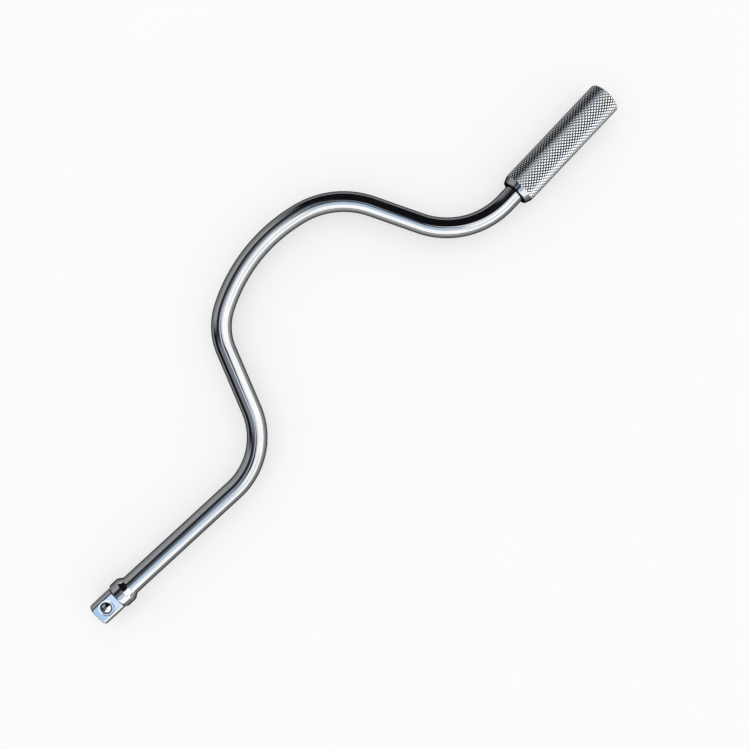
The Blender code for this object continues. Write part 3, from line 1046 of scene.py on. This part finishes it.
def plain_metal(name, dark, light, rough_low, rough_high, scale):
    """Turned or drawn metal with clouded colour and roughness and fine machining grain."""
    material, tree, shader = metal(name)
    place = tree.node("ShaderNodeTexCoord").outputs["Object"]
    cloud = tree.noise(place, scale, detail=4.0)
    grain = tree.noise(place, scale * GRAIN_FINER, detail=2.0)
    tree.link(tree.mix(tree.ramp(cloud, *NOISE_SPREAD), dark, light), shader.inputs["Base Color"])
    tree.link(tree.ramp(grain, *NOISE_SPREAD, rough_low, rough_high), shader.inputs["Roughness"])
    bump(tree, shader, grain, 0.2, PLAIN_RELIEF)
    return material


# Finish of each plain metal, one of them the near-black painted shade of the pocket's walls: its two shades,
# lowest and highest roughness, and clouds in a metre
PLAIN_METALS = {
    "ball_steel": (grey(0.50), grey(0.60), 0.06, 0.14, 900.0),
    "plug_chrome": (grey(0.48, 1.03), grey(0.56, 1.03), 0.18, 0.30, 400.0),
    # Near-black metal on the pocket's walls: painted shade inside the pocket
    "pocket_painted_shade": (grey(0.06), grey(0.14), 0.35, 0.55, 900.0),
    "staked_steel": (grey(0.88), grey(0.96), 0.06, 0.12, 900.0),
    "bush_bronze": ((0.42, 0.26, 0.12, 1.0), (0.58, 0.38, 0.19, 1.0), 0.30, 0.50, 500.0),
    "washer_steel": (grey(0.42), grey(0.54), 0.25, 0.42, 500.0),
    "spring_steel": (grey(0.16, 1.05), grey(0.30, 1.02), 0.25, 0.45, 700.0),
}

# CAD nodes that are shown as they are, and the metal of each
CAD_FINISHES = {
    "front_bush": "bush_bronze",
    "rear_bush": "bush_bronze",
    "thrust_washer": "washer_steel",
    "retaining_washer": "washer_steel",
    "retaining_ring": "spring_steel",
}


def floor_material():
    """Pale matt paper with a faint mottle, part of whose white the camera and the metal see evenly."""
    material = bpy.data.materials.new("pale_floor")
    material.use_nodes = True
    tree = Tree(material.node_tree)
    shader = material.node_tree.nodes["Principled BSDF"]
    place = tree.node("ShaderNodeTexCoord").outputs["Object"]
    mottle = tree.noise(place, FLOOR_MOTTLES)
    tree.link(tree.mix(mottle, grey(FLOOR_DARK), grey(FLOOR_LIGHT)), shader.inputs["Base Color"])
    shader.inputs["Roughness"].default_value = FLOOR_ROUGHNESS
    shader.inputs["Specular IOR Level"].default_value = 0.0
    path = tree.node("ShaderNodeLightPath").outputs
    seen = tree.math("MAXIMUM", path["Is Camera Ray"], path["Is Glossy Ray"])
    seen = tree.math("MAXIMUM", seen, path["Is Transmission Ray"])
    white = tree.node("ShaderNodeEmission")
    both = tree.node("ShaderNodeMixShader")
    tree.link(tree.math("MULTIPLY", seen, FLOOR_EVEN_SHARE), both.inputs[0])
    tree.link(shader.outputs[0], both.inputs[1])
    tree.link(white.outputs[0], both.inputs[2])
    tree.link(both.outputs[0], material.node_tree.nodes["Material Output"].inputs["Surface"])
    return material


def paint(piece, material):
    """Makes a material the piece's only one."""
    piece.data.materials.clear()
    piece.data.materials.append(material)


# Light

# The room that the metal mirrors, painted on a sphere, each later panel over the ones before: its
# middle azimuth and half width in degrees from +X towards +Y, its lowest and highest angle from
# straight up, how softly its sides and its ends fade, and its light
ROOM_PANELS = [
    ("ceiling", 130.0, 62.0, -20.0, 30.0, 30.0, 24.0, (0.09, 0.11, 0.15)),
    ("zenith", 235.0, 60.0, -20.0, 14.0, 20.0, 10.0, (0.07, 0.08, 0.10)),
    ("ceiling_patch", 138.0, 28.0, 3.0, 14.0, 16.0, 8.0, (1.35, 1.42, 1.60)),
    ("ceiling_strip", 84.0, 18.0, 3.0, 17.0, 16.0, 10.0, (0.50, 0.54, 0.60)),
    ("door", 157.0, 12.0, 15.0, 56.0, 14.0, 12.0, (0.34, 0.37, 0.43)),
    ("side_wall", 108.0, 27.0, 47.0, 92.0, 16.0, 10.0, (0.57, 0.58, 0.60)),
    ("window", 276.0, 78.0, 18.0, 84.0, 10.0, 6.0, (2.0, 2.0, 2.0)),
    ("window_top", 313.0, 45.0, -20.0, 20.0, 14.0, 12.0, (1.30, 1.36, 1.46)),
    ("haze", 236.0, 20.0, 14.0, 41.0, 16.0, 12.0, (1.02, 1.17, 1.38)),
    ("sky", 213.0, 18.0, 14.0, 41.0, 16.0, 12.0, (0.86, 1.08, 1.36)),
    ("window_bar", 274.0, 24.0, 43.0, 56.0, 14.0, 9.0, (1.28, 1.36, 1.46)),
]
ROOM_DARK = (0.010, 0.010, 0.013)

# Plain light on what isn't mirrored, which is also what lies beyond the floor
PLAIN_LIGHT = (0.92, 0.92, 0.92)
LAMP_ENERGY = 0.30
LAMP_SPREAD = math.radians(90.0)
LAMP_FROM = Vector((0.10, 0.35, 1.0))
FLOOR_EVEN_SHARE = 0.50


def make_room():
    """The world: the painted room for mirrored rays, and the plain light for all others."""
    world = bpy.data.worlds.new("studio")
    bpy.context.scene.world = world
    world.use_nodes = True
    world.node_tree.nodes.clear()
    tree = Tree(world.node_tree)
    direction = tree.node("ShaderNodeTexCoord").outputs["Generated"]
    up = tree.node("ShaderNodeSeparateXYZ")
    tree.link(direction, up.inputs[0])
    polar = tree.math("ARCCOSINE", up.outputs["Z"])
    light = (*ROOM_DARK, 1.0)
    for name, azimuth, half_width, low, high, soft_side, soft_end, colour in ROOM_PANELS:
        turned = tree.node("ShaderNodeVectorRotate", rotation_type="Z_AXIS", label=name)
        tree.link(direction, turned.inputs["Vector"])
        turned.inputs["Angle"].default_value = -math.radians(azimuth)
        split = tree.node("ShaderNodeSeparateXYZ")
        tree.link(turned.outputs[0], split.inputs[0])
        off = tree.math("ABSOLUTE", tree.math("ARCTAN2", split.outputs["Y"], split.outputs["X"]))
        beside = tree.fall(off, half_width, soft_side)
        ends = tree.math("MULTIPLY", tree.rise(polar, low, soft_end), tree.fall(polar, high, soft_end))
        light = tree.mix(tree.math("MULTIPLY", beside, ends), light, (*colour, 1.0))
    mirrored = tree.node("ShaderNodeLightPath").outputs["Is Glossy Ray"]
    light = tree.mix(mirrored, (*PLAIN_LIGHT, 1.0), light)
    background = tree.node("ShaderNodeBackground")
    tree.link(light, background.inputs["Color"])
    output = tree.node("ShaderNodeOutputWorld")
    tree.link(background.outputs[0], output.inputs["Surface"])


def make_lamp():
    """Broad soft overhead light for the floor, which the metal doesn't mirror."""
    lamp = bpy.data.lights.new("overhead", "SUN")
    lamp.energy = LAMP_ENERGY
    lamp.angle = LAMP_SPREAD
    thing = add_object("overhead", lamp)
    thing.rotation_euler = LAMP_FROM.to_track_quat("Z", "Y").to_euler()
    thing.visible_glossy = False


def make_camera():
    """Camera straight over the brace, turned as the photograph is."""
    data = bpy.data.cameras.new("camera")
    data.sensor_width = SENSOR_WIDTH
    data.lens = SENSOR_WIDTH / 2.0 * CAMERA_PLACE.z / CAMERA_HALF_WIDTH
    data.clip_start = CLIP_START
    data.clip_end = CLIP_END
    camera = add_object("camera", data)
    camera.location = CAMERA_PLACE
    camera.rotation_euler = (0.0, 0.0, CAMERA_TURN)
    bpy.context.scene.camera = camera


def make_floor():
    """Round pale floor that reaches past the camera's frame."""
    low, _ = cad_bounds
    height = low[2] - FLOOR_GAP
    points = []
    for side in range(BAR_SIDES):
        angle = math.tau * side / BAR_SIDES
        across = FLOOR_RADIUS * math.cos(angle)
        up = FLOOR_RADIUS * math.sin(angle)
        points.append((CAMERA_PLACE.x + across, CAMERA_PLACE.y + up, height))
    mesh = bpy.data.meshes.new("floor")
    mesh.from_pydata(points, [], [tuple(range(BAR_SIDES))])
    floor = add_object("floor", mesh)
    paint(floor, floor_material())


def place_piece(piece, body, node, material):
    """Gives a piece its finish and its place in the frame."""
    paint(piece, material)
    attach(piece, body)
    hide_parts(node)


def main():
    to_row = grip_frame()
    metals = {name: plain_metal(name, *finish) for name, finish in PLAIN_METALS.items()}
    bar = make_crank_bar(to_row)
    place_piece(bar, "crank", "crank_rod", chrome_bar_material())
    finish_pocket(bar, metals["pocket_painted_shade"], metals["staked_steel"])
    place_piece(make_ball(), "ball", "detent_ball", metals["ball_steel"])
    place_piece(make_knurled_sleeve(to_row), "grip", "grip_sleeve", knurl_material())
    place_piece(make_plug(to_row), "grip", "end_plug", metals["plug_chrome"])
    coil = make_spring()
    place_piece(coil, "crank", "detent_spring", metals["spring_steel"])
    press_with_ball(coil)
    for node, metal_name in CAD_FINISHES.items():
        paint(frame["nodes"][node], metals[metal_name])

    make_camera()
    make_floor()
    make_room()
    make_lamp()
    bpy.context.scene.view_settings.view_transform = "Standard"


main()
